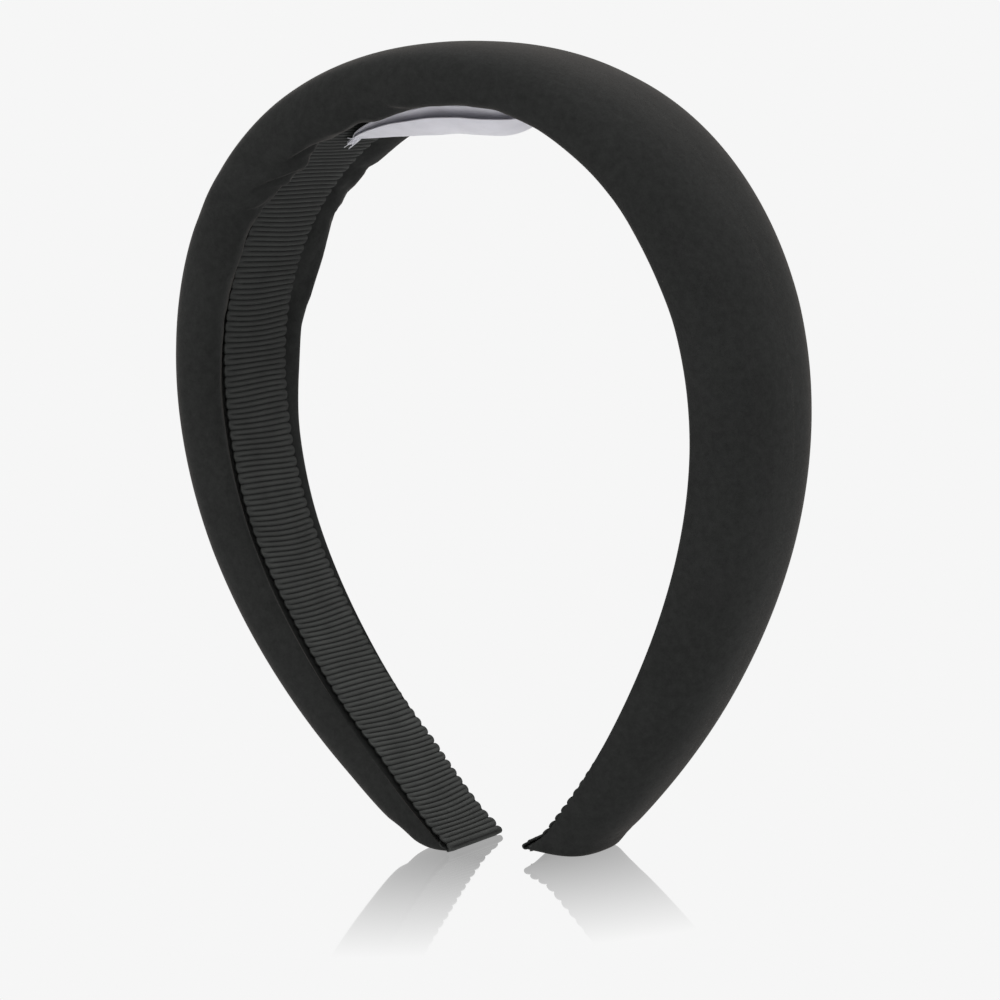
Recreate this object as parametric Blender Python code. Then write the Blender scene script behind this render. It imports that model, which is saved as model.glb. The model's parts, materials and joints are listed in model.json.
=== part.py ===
"""Padded headband (Alice band), standing on its two tips.

A springy plastic core runs from tip to tip. Domed foam is taped to its outer side, a fabric cover wraps the
foam and is turned under and glued to the core's inner side, and a grosgrain ribbon lines that side. A folded
label is tacked to the ribbon under the crown.

Frame: X from ear to ear, Y across the band with its front edge at -Y, Z up, the floor at Z = 0.

Every piece follows one spine, the ribbon's inner face seen from the front. A place in a piece is given by u,
the share of the way along the spine from the crown (0) to a tip (1), by y across the band, and by n, the
distance outward from the spine.
"""

import math

import bmesh
import bpy
import numpy as np
from mathutils import Matrix, Vector

MM = 0.001

# The spine, which is the inside of the band as worn
INNER_HEIGHT = 154.5 * MM
INNER_WIDTH = 116.0 * MM
WIDEST_HEIGHT = 93.0 * MM
TIP_GAP = 18.0 * MM
TIP_LEAN = math.radians(48.0)
CROWN_FULLNESS = 0.60
SHOULDER_FULLNESS = 0.56
ARM_FULLNESS = 0.435
TIP_FULLNESS = 0.27

# The band's outer size at the crown, at three places down the arm, and at the tip
BAND_WIDTH = [42.0 * MM, 40.0 * MM, 30.0 * MM, 25.0 * MM, 21.0 * MM]
BAND_THICKNESS = [11.2 * MM, 12.2 * MM, 14.0 * MM, 12.0 * MM, 6.2 * MM]
SIDE_HEIGHT_SHARE = 0.32
DOME_ROUNDNESS = 2.4
UNDER_ROLL = 2.2 * MM

# The layers, from the head outward, with the gap that parts them
GAP = 0.3 * MM
RIBBON_THICK = 0.6 * MM
RIBBON_WIDTH = 22.0 * MM
RIBBON_TIP_WIDTH = 20.5 * MM
COVER_THICK = 0.6 * MM
MARGIN_SLOT = 9.0 * MM
GLUE_THICK = 0.2 * MM
CORE_THICK = 1.2 * MM
CORE_WIDTH = 24.0 * MM
CORE_TIP_ROOM = 3.5 * MM
TAPE_THICK = 0.2 * MM
TAPE_INSET = 1.0 * MM
SMALLEST_ROLL = 1.5 * MM

# Where the arms flex
FLEX_PLACE = 0.30
FLEX_GAP = 0.6 * MM
GLUE_SETBACK = 1.0 * MM
TIP_ROOM = 2.0 * MM

# The label under the crown
LABEL_LENGTH = 48.0 * MM
LABEL_WIDTH = 15.0 * MM
LABEL_THICK = 0.3 * MM
LABEL_REACH = 1.0 * MM
UPPER_SAG = 1.4 * MM
LOWER_SAG = 3.6 * MM
TACK_LENGTH = 2.0 * MM
TACK_WIDTH = 9.0 * MM
TACK_THICK = 1.3 * MM

# How finely the bodies are faceted
SPINE_SAMPLES = 240
CROWN_STATIONS = 15
ARM_STATIONS = 13
ROLL_STEPS = 3
DOME_STEPS = 6
LABEL_STATIONS = 13

RIBBON_N = 0.0
MARGIN_N = RIBBON_N + RIBBON_THICK + GAP
GLUE_N = MARGIN_N + COVER_THICK + GAP
CORE_N = GLUE_N + GLUE_THICK + GAP
TAPE_N = CORE_N + CORE_THICK + GAP
FOAM_N = TAPE_N + TAPE_THICK + GAP
FOAM_INSET = COVER_THICK + GAP
FLEX_N = CORE_N + CORE_THICK / 2


def clear_scene():
    for obj in list(bpy.data.objects):
        bpy.data.objects.remove(obj, do_unlink=True)


def bezier(p0, p1, p2, p3, count):
    t = np.linspace(0.0, 1.0, count)[:, None]
    return (1 - t) ** 3 * p0 + 3 * (1 - t) ** 2 * t * p1 + 3 * (1 - t) * t**2 * p2 + t**3 * p3


def spine_points():
    """The right half of the spine in X and Z, from the crown to the tip: a full quarter down to the widest
    place, then a straighter arm that leans in to the tip."""
    half = INNER_WIDTH / 2
    crown = np.array([0.0, INNER_HEIGHT])
    widest = np.array([half, WIDEST_HEIGHT])
    tip = np.array([TIP_GAP / 2, 0.0])
    rise = INNER_HEIGHT - WIDEST_HEIGHT
    crown_handle = crown + np.array([CROWN_FULLNESS * half, 0.0])
    shoulder_handle = widest + np.array([0.0, SHOULDER_FULLNESS * rise])
    arm_handle = widest - np.array([0.0, ARM_FULLNESS * WIDEST_HEIGHT])
    back_up_the_arm = np.array([math.sin(TIP_LEAN), math.cos(TIP_LEAN)])
    tip_handle = tip + back_up_the_arm * TIP_FULLNESS * WIDEST_HEIGHT
    upper = bezier(crown, crown_handle, shoulder_handle, widest, SPINE_SAMPLES)
    lower = bezier(widest, arm_handle, tip_handle, tip, SPINE_SAMPLES)
    return np.concatenate([upper, lower[1:]])


SPINE = spine_points()
SPINE_RUN = np.concatenate([[0.0], np.cumsum(np.linalg.norm(np.diff(SPINE, axis=0), axis=1))])
HALF_LENGTH = SPINE_RUN[-1]


def spine_at(u):
    """Place, direction down the arm and outward direction at u, in X and Z, for the right half. A negative u
    is the same place on the left half, followed in the same sense."""
    run = abs(u) * HALF_LENGTH
    place = np.array([np.interp(run, SPINE_RUN, SPINE[:, i]) for i in range(2)])
    step = HALF_LENGTH / SPINE_SAMPLES
    ahead = np.array([np.interp(run + step, SPINE_RUN, SPINE[:, i]) for i in range(2)])
    behind = np.array([np.interp(run - step, SPINE_RUN, SPINE[:, i]) for i in range(2)])
    along = ahead - behind
    if run < step:
        along = np.array([1.0, 0.0])
    along = along / np.linalg.norm(along)
    outward = np.array([-along[1], along[0]])
    if u < 0:
        place = place * (-1, 1)
        along = along * (1, -1)
        outward = outward * (-1, 1)
    return place, along, outward


def eased(values, u):
    """A smooth curve through values that are evenly spaced from the crown to the tip."""
    x = min(abs(u), 1.0) * (len(values) - 1)
    i = min(int(x), len(values) - 2)
    t = x - i
    before = values[1] if i == 0 else values[i - 1]
    after = values[i + 2] if i + 2 < len(values) else 2 * values[-1] - values[-2]
    a, b = values[i], values[i + 1]
    slope_a, slope_b = (b - before) / 2, (after - a) / 2
    return (
        a * (1 + 2 * t) * (1 - t) ** 2
        + slope_a * t * (1 - t) ** 2
        + b * t**2 * (3 - 2 * t)
        + slope_b * t**2 * (t - 1)
    )


def tapered(crown_value, tip_value, u):
    return crown_value + (tip_value - crown_value) * abs(u)


def half_profile(u, inset):
    """The cover's outline from the edge of its turned-under margin, round the edge of the band and up to the
    top of the dome, as (y, n) with y positive. Inset moves it inward all round."""
    half = eased(BAND_WIDTH, u) / 2
    top = eased(BAND_THICKNESS, u) - inset
    ribbon_half = tapered(RIBBON_WIDTH, RIBBON_TIP_WIDTH, u) / 2
    flat_to = min(ribbon_half + GAP, half - SMALLEST_ROLL - COVER_THICK)
    room = max(0.0, half - ribbon_half - GAP - SMALLEST_ROLL)
    crown_room = (BAND_WIDTH[0] - RIBBON_WIDTH) / 2 - GAP - SMALLEST_ROLL
    roll = UNDER_ROLL * min(1.0, room / crown_room)
    margin = MARGIN_N + inset
    side = max(SIDE_HEIGHT_SHARE * (top + inset), margin + GAP)
    edge = half - inset
    points = [(MARGIN_SLOT / 2, margin)]
    for i in range(ROLL_STEPS + 1):
        a = math.pi / 2 * i / (ROLL_STEPS + 1)
        y = flat_to + (edge - flat_to) * math.sin(a)
        n = margin * math.cos(a) + side * (1 - math.cos(a)) - roll * math.sin(2 * a)
        points.append((y, n))
    power = 2 / DOME_ROUNDNESS
    for i in range(DOME_STEPS + 1):
        a = math.pi / 2 * i / DOME_STEPS
        y = edge * abs(math.cos(a)) ** power
        n = side + (top - side) * math.sin(a) ** power
        points.append((y, n))
    points[-1] = (0.0, top)
    return points


def full_profile(u, inset):
    """The same outline from the front margin's edge over the dome to the rear margin's edge."""
    half = half_profile(u, inset)
    front = [(-y, n) for y, n in half]
    return front + half[-2::-1]


def box_section(y_low, y_high, n_low, n_high):
    return [(y_low, n_low), (y_high, n_low), (y_high, n_high), (y_low, n_high)]


def ring_at(u, section):
    place, _, outward = spine_at(u)
    return [
        (place[0] + outward[0] * n, y, place[1] + outward[1] * n) for y, n in section
    ]


def ring_on_level(side, section, level):
    """The section at a tip, slid along the arm until it lies in the level plane."""
    _, along, _ = spine_at(side)
    down = along if side > 0 else -along
    ring = []
    for x, y, z in ring_at(side, section):
        slide = (level - z) / down[1]
        ring.append((x + down[0] * slide, y, level))
    return ring


def crown_stations(setback=0.0):
    end = FLEX_PLACE - (FLEX_GAP / 2 + setback) / HALF_LENGTH
    return list(np.linspace(-end, end, CROWN_STATIONS))


def arm_stations(side, setback=0.0):
    """Places down one arm. The last leaves room for the section that lies level at the tip."""
    start = FLEX_PLACE + (FLEX_GAP / 2 + setback) / HALF_LENGTH
    room_at_tip = BAND_THICKNESS[-1] * math.tan(TIP_LEAN) + TIP_ROOM
    end = 1.0 - room_at_tip / HALF_LENGTH
    return [side * u for u in np.linspace(start, end, ARM_STATIONS)]


def new_object(name, bm, material):
    bmesh.ops.remove_doubles(bm, verts=bm.verts, dist=0.001 * MM)
    bmesh.ops.recalc_face_normals(bm, faces=bm.faces)
    mesh = bpy.data.meshes.new(name)
    bm.to_mesh(mesh)
    bm.free()
    mesh.shade_smooth()
    mesh.set_sharp_from_angle(angle=math.radians(40))
    mesh.materials.append(material)
    obj = bpy.data.objects.new(name, mesh)
    bpy.context.collection.objects.link(obj)
    return obj


def skin(bm, rings, closed):
    """Faces between each ring of points and the next. Returns the rings' vertices."""
    rows = [[bm.verts.new(p) for p in ring] for ring in rings]
    count = len(rows[0])
    for row, following in zip(rows, rows[1:]):
        for i in range(count if closed else count - 1):
            j = (i + 1) % count
            bm.faces.new((row[i], row[j], following[j], following[i]))
    return rows


def lofted(name, rings, material):
    """A solid that joins closed sections, with a flat cap at each end."""
    bm = bmesh.new()
    rows = skin(bm, rings, closed=True)
    bm.faces.new(rows[0])
    bm.faces.new(rows[-1])
    return new_object(name, bm, material)


def strip(name, material, stations, section_of, tip_side=0, level=0.0):
    """A piece with one closed section, which section_of gives at each place. With a tip side, it ends in the
    level plane at that tip."""
    rings = [ring_at(u, section_of(u)) for u in stations]
    if tip_side:
        rings.append(ring_on_level(tip_side, section_of(tip_side), level))
    return lofted(name, rings, material)


def cover_piece(name, material, stations, tip_side=0):
    """The cover: a thin wall round the dome whose margins stop at the slot under the ribbon. At a tip the
    fabric closes under the end and is flat where the band stands."""
    outer = [ring_at(u, full_profile(u, 0.0)) for u in stations]
    inner = [ring_at(u, full_profile(u, COVER_THICK)) for u in stations]
    if tip_side:
        outer.append(ring_on_level(tip_side, full_profile(tip_side, 0.0), 0.0))
        inner.append(ring_on_level(tip_side, full_profile(tip_side, COVER_THICK), COVER_THICK))
    bm = bmesh.new()
    out_rows = skin(bm, outer, closed=False)
    in_rows = skin(bm, inner, closed=False)
    for end in (0, -1):
        edges = list(zip(out_rows, in_rows))
        for (o0, i0), (o1, i1) in zip(edges, edges[1:]):
            bm.faces.new((o0[end], o1[end], i1[end], i0[end]))
    closing = [0] if tip_side else [0, -1]
    for row in closing:
        o, i = out_rows[row], in_rows[row]
        for a in range(len(o) - 1):
            bm.faces.new((o[a], o[a + 1], i[a + 1], i[a]))
    if tip_side:
        o, i = out_rows[-1], in_rows[-1]
        bm.faces.new(o)
        bm.faces.new(i)
        bm.faces.new((o[0], o[-1], i[-1], i[0]))
    return new_object(name, bm, material)


def core_half(u):
    """Half the core's width. At the tip it keeps a set room to each edge of the band."""
    return tapered(CORE_WIDTH, BAND_WIDTH[-1] - 2 * CORE_TIP_ROOM, u) / 2


def core_section(u):
    half = core_half(u)
    return box_section(-half, half, CORE_N, CORE_N + CORE_THICK)


def foam_section(u):
    """A dome that sits on the tape and reaches down past both edges of the core, following the cover's
    underside from there."""
    beside_core = core_half(u) + GAP
    outline = half_profile(u, FOAM_INSET)[1:]
    under, dome = outline[: ROLL_STEPS + 2], outline[ROLL_STEPS + 2 :]
    under_y = [y for y, _ in under]
    under_n = [n for _, n in under]
    start, edge = max(beside_core + GAP, under_y[0]), under_y[-1]
    half = [(beside_core, FOAM_N), (beside_core, MARGIN_N + FOAM_INSET)]
    for y in under_y:
        along = start + (edge - start) * (y - under_y[0]) / (edge - under_y[0])
        half.append((along, float(np.interp(along, under_y, under_n))))
    half += dome
    return [(-y, n) for y, n in half] + half[-2::-1]


def tape_section(u):
    half = core_half(u) - TAPE_INSET
    return box_section(-half, half, TAPE_N, TAPE_N + TAPE_THICK)


def margin_glue_section(side):
    def section(u):
        near = MARGIN_SLOT / 2 + GAP
        far = core_half(u) - TAPE_INSET
        return box_section(min(side * near, side * far), max(side * near, side * far), GLUE_N, GLUE_N + GLUE_THICK)

    return section


def ribbon_glue_section(u):
    half = MARGIN_SLOT / 2 - GAP
    return box_section(-half, half, MARGIN_N, GLUE_N + GLUE_THICK)


def ribbon_section(u):
    half = tapered(RIBBON_WIDTH, RIBBON_TIP_WIDTH, u) / 2
    return box_section(-half, half, RIBBON_N, RIBBON_N + RIBBON_THICK)


def label_layer(name, material, sag, clearance):
    """One layer of the label: it lies near the ribbon at its ends and hangs away from it in the middle."""
    end = LABEL_LENGTH / 2 / HALF_LENGTH
    rings = []
    for u in np.linspace(-end, end, LABEL_STATIONS):
        n = -clearance - sag * math.cos(math.pi / 2 * u / end) ** 2
        rings.append(ring_at(u, box_section(-LABEL_WIDTH / 2, LABEL_WIDTH / 2, n - LABEL_THICK, n)))
    return lofted(name, rings, material)


def label_tack(name, material, side):
    """The stitches that hold one end of the label, just past the end of its layers."""
    near = LABEL_LENGTH / 2 + GAP
    far = near + TACK_LENGTH
    places = [side * s / HALF_LENGTH for s in (near, far)]
    section = box_section(-TACK_WIDTH / 2, TACK_WIDTH / 2, -GAP - TACK_THICK, -GAP)
    return lofted(name, [ring_at(u, section) for u in places], material)


def flex_axis(name, side):
    """An empty on the line that one arm flexes about: the middle of the core's thickness, across the band."""
    place, _, outward = spine_at(side * FLEX_PLACE)
    axis = bpy.data.objects.new(name, None)
    axis.location = Vector((place[0] + outward[0] * FLEX_N, 0.0, place[1] + outward[1] * FLEX_N))
    axis.empty_display_size = BAND_WIDTH[0]
    bpy.context.collection.objects.link(axis)
    return axis


def hang_on(axis, obj):
    """Moves a piece's origin onto the axis that it turns about, and parents it there."""
    obj.data.transform(Matrix.Translation(-axis.location))
    obj.parent = axis


def material_of(name, color, roughness):
    material = bpy.data.materials.new(name)
    material.use_nodes = True
    shader = next(n for n in material.node_tree.nodes if n.type == "BSDF_PRINCIPLED")
    shader.inputs["Base Color"].default_value = (*color, 1.0)
    shader.inputs["Roughness"].default_value = roughness
    shader.inputs["Metallic"].default_value = 0.0
    return material


def main():
    clear_scene()
    cover_fabric = ("cover_fabric", (0.028, 0.028, 0.028), 0.75)
    ribbon_weave = ("ribbon_weave", (0.035, 0.038, 0.036), 0.7)
    core_plastic = ("core_plastic", (0.05, 0.05, 0.05), 0.4)
    foam = ("foam", (0.75, 0.72, 0.62), 0.95)
    glue = ("glue", (0.80, 0.76, 0.55), 0.35)
    label_satin = ("label_satin", (0.86, 0.86, 0.88), 0.5)
    thread = ("thread", (0.88, 0.88, 0.90), 0.6)

    over_cap = COVER_THICK + GAP
    swept = [
        ("core", core_plastic, core_section, 0.0, over_cap),
        ("foam", foam, foam_section, 0.0, over_cap),
        ("foam_tape", glue, tape_section, GLUE_SETBACK, over_cap),
        ("front_margin_glue", glue, margin_glue_section(-1), GLUE_SETBACK, over_cap),
        ("rear_margin_glue", glue, margin_glue_section(1), GLUE_SETBACK, over_cap),
        ("ribbon_glue", glue, ribbon_glue_section, GLUE_SETBACK, over_cap),
        ("ribbon", ribbon_weave, ribbon_section, 0.0, GAP),
    ]
    arms = [(arm, side, flex_axis(f"{arm}_flex_axis", side)) for arm, side in (("left_arm", -1), ("right_arm", 1))]
    for piece, finish, section_of, setback, level in swept:
        strip(f"{piece}_crown", material_of(*finish), crown_stations(setback), section_of)
        for arm, side, axis in arms:
            stations = arm_stations(side, setback)
            hang_on(axis, strip(f"{piece}_{arm}", material_of(*finish), stations, section_of, side, level))

    cover_piece("cover_crown", material_of(*cover_fabric), crown_stations())
    for arm, side, axis in arms:
        hang_on(axis, cover_piece(f"cover_{arm}", material_of(*cover_fabric), arm_stations(side), side))

    lower_clearance = LABEL_REACH + LABEL_THICK + GAP
    label_layer("label_upper_layer", material_of(*label_satin), UPPER_SAG, LABEL_REACH)
    label_layer("label_lower_layer", material_of(*label_satin), LOWER_SAG, lower_clearance)
    for name, side in (("label_tack_left", -1), ("label_tack_right", 1)):
        label_tack(name, material_of(*thread), side)


main()
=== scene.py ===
"""A padded headband standing on its two tips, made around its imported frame.

Each strip is laid out flat first, as on a bench: X is the run along the band from the crown, positive down
the right arm, Y goes across the band, and Z is n, the height off the ribbon's inner face. Spine.wrap() then
lays it on the band's own curve. The cover and the foam are padded pieces, swept on the same curve. A cloth
simulation gives the cover its small puckers, and its tucks are added to them.
"""

import json
import math

import bmesh
import bpy
import numpy as np
from bpy.props import FloatProperty, FloatVectorProperty, IntProperty, PointerProperty
from mathutils import Matrix, Vector

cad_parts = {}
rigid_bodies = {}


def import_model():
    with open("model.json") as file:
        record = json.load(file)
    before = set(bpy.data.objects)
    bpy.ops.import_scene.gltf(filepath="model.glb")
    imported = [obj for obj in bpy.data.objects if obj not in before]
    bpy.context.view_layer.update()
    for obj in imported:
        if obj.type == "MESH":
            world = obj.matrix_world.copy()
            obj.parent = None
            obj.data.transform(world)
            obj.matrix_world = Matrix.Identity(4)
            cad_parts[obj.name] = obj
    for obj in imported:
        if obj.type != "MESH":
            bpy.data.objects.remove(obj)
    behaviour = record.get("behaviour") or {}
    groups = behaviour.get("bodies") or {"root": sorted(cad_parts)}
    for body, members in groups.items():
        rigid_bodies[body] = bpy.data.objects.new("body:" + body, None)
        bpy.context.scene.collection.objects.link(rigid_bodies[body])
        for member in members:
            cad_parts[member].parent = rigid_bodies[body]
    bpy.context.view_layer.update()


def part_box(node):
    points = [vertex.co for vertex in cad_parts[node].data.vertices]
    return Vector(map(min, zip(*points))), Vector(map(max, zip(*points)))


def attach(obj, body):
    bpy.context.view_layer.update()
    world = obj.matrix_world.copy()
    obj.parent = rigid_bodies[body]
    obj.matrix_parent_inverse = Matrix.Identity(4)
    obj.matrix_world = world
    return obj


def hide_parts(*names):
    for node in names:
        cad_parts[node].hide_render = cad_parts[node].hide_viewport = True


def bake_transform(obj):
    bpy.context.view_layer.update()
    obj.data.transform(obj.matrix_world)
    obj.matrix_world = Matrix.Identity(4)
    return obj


bl_info = {
    "name": "Padded headband",
    "version": (1, 0, 0),
    "blender": (4, 5, 0),
    "location": "View3D > Sidebar > Headband",
    "description": "Makes a padded headband with a ribbed lining and a folded label around its packed frame",
    "category": "Object",
}

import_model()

MM = 0.001
RIBBON_THICK = 0.6 * MM
SIDES = {"left": -1, "right": 1}


# ---------------------------------------------------------------- sizes and colours


def length(name, description, default):
    return FloatProperty(name=name, description=description, default=default, unit="LENGTH")


def five_lengths(name, description, *millimetres):
    """A length at the crown, at three evenly spaced places down an arm, and at the tip."""
    default = tuple(value * MM for value in millimetres)
    return FloatVectorProperty(name=name, description=description, size=5, default=default, unit="LENGTH")


def colour(name, description, *default):
    return FloatVectorProperty(name=name, description=description, subtype="COLOR", size=3, default=default)


class HeadbandSizes(bpy.types.PropertyGroup):
    inner_height: length(
        "Inner height",
        "From the surface it stands on to the ribbon under the crown",
        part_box("ribbon_crown")[1].z - RIBBON_THICK,
    )
    inner_width: length(
        "Inner width",
        "Between the ribbon's faces at the widest place",
        2 * (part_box("ribbon_right_arm")[1].x - RIBBON_THICK),
    )
    widest_height: length("Widest height", "Height of the widest place", 93.0 * MM)
    tip_gap: length("Tip gap", "Between the two tips, at the bottom", 18.0 * MM)
    tip_lean: FloatProperty(
        name="Tip lean", description="Lean of the arm at its tip", default=math.radians(48), unit="ROTATION"
    )
    fullness: FloatVectorProperty(
        name="Fullness",
        description="How straight the curve stays at the crown, above and below the widest place, and at the tip",
        size=4,
        default=(0.60, 0.56, 0.435, 0.27),
    )
    band_width: five_lengths("Band width", "Width of the cover", 42.4, 39.9, 29.4, 24.4, 20.4)
    band_thickness: five_lengths("Band thickness", "Thickness of the cover", 10.6, 11.8, 14.6, 12.8, 8.0)
    dome_roundness: FloatProperty(
        name="Dome roundness", description="Higher is fuller at the edges", default=2.5, min=2.0
    )
    side_share: FloatProperty(
        name="Side share", description="Height of the widest line, as a share of the thickness", default=0.32
    )
    under_roll: five_lengths(
        "Under roll", "How far the padding rolls in past the ribbon's edge", 2.1, 2.1, 2.1, 1.8, 0.5
    )
    tip_fillet: FloatVectorProperty(
        name="Tip fillet",
        description="Rounding of the padding at the left and the right tip",
        size=2,
        default=(2.3 * MM, 1.0 * MM),
        unit="LENGTH",
    )
    ribbon_width: length("Ribbon width", "Over the loops, at the crown", 22.0 * MM)
    ribbon_tip_width: length("Ribbon tip width", "Over the loops, at a tip", 19.2 * MM)
    rib_pitch: length("Rib pitch", "From one rib to the next", 1.18 * MM)
    rib_height: length("Rib height", "How far a rib stands up", 0.40 * MM)
    loop_reach: length("Loop reach", "How far an edge loop stands out", 0.75 * MM)
    label_length: length(
        "Label length",
        "Along the band, from stitch to stitch",
        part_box("label_upper_layer")[1].x * 2 + 3.0 * MM,
    )
    label_width: length("Label width", "Across the band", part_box("label_upper_layer")[1].y * 2)
    label_sag: length("Label sag", "How far the free layer hangs", 3.0 * MM)
    tuck_depth: length("Tuck depth", "Depth of the cover's tucks beside the ribbon", 1.0 * MM)
    tuck_seed: IntProperty(name="Tuck seed", description="Chooses where the tucks fall", default=7)


class HeadbandColours(bpy.types.PropertyGroup):
    cover: colour("Cover", "Cover fabric", 0.0148, 0.0155, 0.0149)
    cover_sheen: colour("Cover sheen", "Sheen at the edges", 0.62, 0.50, 0.42)
    lint: colour("Lint", "Specks on the cover", 0.08, 0.075, 0.065)
    ribbon: colour("Ribbon", "Ribbon's ribs", 0.0238, 0.0250, 0.0236)
    # Painted shade: the colour of the grooves between the ribs, where shade falls.
    ribbon_groove_shade: colour("Groove", "Between the ribs", 0.0045, 0.0048, 0.0045)
    ribbon_sheen: colour("Ribbon sheen", "Sheen on the ribbon", 0.8, 0.85, 0.8)
    core: colour("Core", "Springy core", 0.03, 0.03, 0.03)
    foam: colour("Foam", "Padding", 0.72, 0.68, 0.55)
    glue: colour("Glue", "Set glue and tape", 0.78, 0.72, 0.50)
    label: colour("Label", "Label satin", 0.77, 0.76, 0.82)
    thread: colour("Thread", "Sewing thread", 0.78, 0.78, 0.82)
    backdrop: FloatProperty(
        name="Backdrop", description="Brightness of the floor and the background", default=0.922, min=0.0, max=1.0
    )


def sizes():
    return bpy.context.scene.headband_sizes


def colours():
    return bpy.context.scene.headband_colours


# ---------------------------------------------------------------- the band's curve and its cross-section


def bezier(p0, p1, p2, p3, count):
    t = np.linspace(0.0, 1.0, count)[:, None]
    p0, p1, p2, p3 = (np.array(p, float) for p in (p0, p1, p2, p3))
    return (1 - t) ** 3 * p0 + 3 * (1 - t) ** 2 * t * p1 + 3 * (1 - t) * t**2 * p2 + t**3 * p3


def smooth_step(x):
    x = np.clip(x, 0.0, 1.0)
    return x * x * (3 - 2 * x)


def eased(values, u):
    """A smooth curve through values that are evenly spaced from the crown to the tip."""
    values = np.array(values, float)
    ends = np.concatenate([[values[1]], values, [2 * values[-1] - values[-2]]])
    x = np.clip(np.abs(u), 0.0, 1.0) * (len(values) - 1)
    i = np.minimum(x.astype(int), len(values) - 2)
    t = x - i
    before, a, b, after = (ends[i + k] for k in range(4))
    slope_a, slope_b = (b - before) / 2, (after - a) / 2
    return (
        a * (1 + 2 * t) * (1 - t) ** 2
        + slope_a * t * (1 - t) ** 2
        + b * t**2 * (3 - 2 * t)
        + slope_b * t**2 * (t - 1)
    )


LEFT_SWAY = ((0.0, 0.60, 0.86, 1.0), (0.0, 0.0, 1.0 * MM, 0.3 * MM))
RIGHT_TIP_LIFT = 1.7 * MM
TIP_LIFT_REACH = 9.0 * MM


class Spine:
    """The ribbon's inner face seen from the front: the right half, which the left half mirrors."""

    SAMPLES = 900

    def __init__(self, s):
        half, lean = s.inner_width / 2, s.tip_lean
        rise = s.inner_height - s.widest_height
        at_crown, above, below, at_tip = s.fullness
        crown, widest, tip = (0.0, s.inner_height), (half, s.widest_height), (s.tip_gap / 2, 0.0)
        reach = at_tip * s.widest_height
        level, upright = (at_crown * half, s.inner_height), (half, s.widest_height + above * rise)
        upper = bezier(crown, level, upright, widest, self.SAMPLES)
        lower = bezier(
            widest,
            (half, s.widest_height * (1 - below)),
            (tip[0] + math.sin(lean) * reach, math.cos(lean) * reach),
            tip,
            self.SAMPLES,
        )
        self.points = np.concatenate([upper, lower[1:]])
        self.run = np.concatenate([[0.0], np.cumsum(np.linalg.norm(np.diff(self.points, axis=0), axis=1))])
        self.length = self.run[-1]
        self.along = np.gradient(self.points, self.run, axis=0)
        self.along[0] = (1.0, 0.0)

    def at(self, run):
        """Place, direction down the arm and outward direction, in X and Z, for runs on the right half."""
        place = np.stack([np.interp(run, self.run, self.points[:, i]) for i in range(2)], -1)
        along = np.stack([np.interp(run, self.run, self.along[:, i]) for i in range(2)], -1)
        along /= np.linalg.norm(along, axis=-1, keepdims=True)
        place = place + along * np.maximum(run - self.length, 0.0)[..., None]
        return place, along, np.stack([-along[..., 1], along[..., 0]], -1)

    def run_at_height(self, z):
        """The run at which the lower arm passes the height z."""
        lower = self.points[self.SAMPLES :]
        return float(np.interp(-z, -lower[:, 1], self.run[self.SAMPLES :]))

    def wrap(self, run, y, n, fan=0.0):
        """World places of bench points. Fan turns the section's plane toward the level, at its inner edge."""
        run, y, n = np.broadcast_arrays(run, y, n)
        place, along, outward = self.at(np.abs(run))
        fan = np.broadcast_to(fan, run.shape)[..., None]
        across = outward - along * np.tan(fan)
        flat = place + across * n[..., None]
        side = np.where(run < 0, -1.0, 1.0)
        u = np.abs(run) / self.length
        sway = np.where(run < 0, np.interp(u, *LEFT_SWAY), 0.0)
        inner_front = (1 - smooth_step(n / TIP_LIFT_REACH)) * smooth_step(-y / TIP_LIFT_REACH)
        near_tip = smooth_step((np.abs(run) - self.length + TIP_LIFT_REACH) / TIP_LIFT_REACH)
        lift = np.where(run > 0, RIGHT_TIP_LIFT * inner_front * near_tip, 0.0)
        return np.stack([side * flat[..., 0], y + sway, flat[..., 1] + lift], -1)


MARGIN_N = 0.9 * MM
MARGIN_SLOT = 9.0 * MM
SMALLEST_ROLL = 1.0 * MM
COVER_WALL = 0.5 * MM
CORE_N = 2.3 * MM
CORE_THICK = 1.2 * MM
CORE_WIDTHS = (24.0 * MM, 14.0 * MM)
FOAM_N = 4.3 * MM


def ribbon_half_width(s, u):
    return (s.ribbon_width + (s.ribbon_tip_width - s.ribbon_width) * np.abs(u)) / 2


def half_outline(s, u, inset):
    """One half of the cover's section at u, from its margin's edge to the top of the dome, as (y, n)."""
    half = float(eased(s.band_width, np.array([u]))[0]) / 2
    top = float(eased(s.band_thickness, np.array([u]))[0]) - inset
    ribbon_half = float(ribbon_half_width(s, u))
    flat_to = min(ribbon_half, half - SMALLEST_ROLL)
    roll = float(eased(s.under_roll, np.array([u]))[0])
    margin = MARGIN_N + inset
    side_share = s.side_share * (1 - 0.35 * float(smooth_step((u - 0.55) / 0.45)))
    side = max(side_share * (top + inset), margin + 0.4 * MM)
    edge = half - inset
    a = np.linspace(0.0, math.pi / 2, 60)
    under_y = flat_to + (edge - flat_to) * np.sin(a)
    under_n = margin * np.cos(a) + side * (1 - np.cos(a)) - roll * np.sin(2 * a)
    power = 2 / s.dome_roundness
    over_y = edge * np.cos(a) ** power
    over_n = side + (top - side) * np.sin(a) ** power
    y = np.concatenate([[MARGIN_SLOT / 2], under_y, over_y[1:]])
    n = np.concatenate([[margin], under_n, over_n[1:]])
    return y, n


def resampled(y, n, count):
    run = np.concatenate([[0.0], np.cumsum(np.hypot(np.diff(y), np.diff(n)))])
    at = np.linspace(0.0, run[-1], count)
    return np.interp(at, run, y), np.interp(at, run, n)


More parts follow.
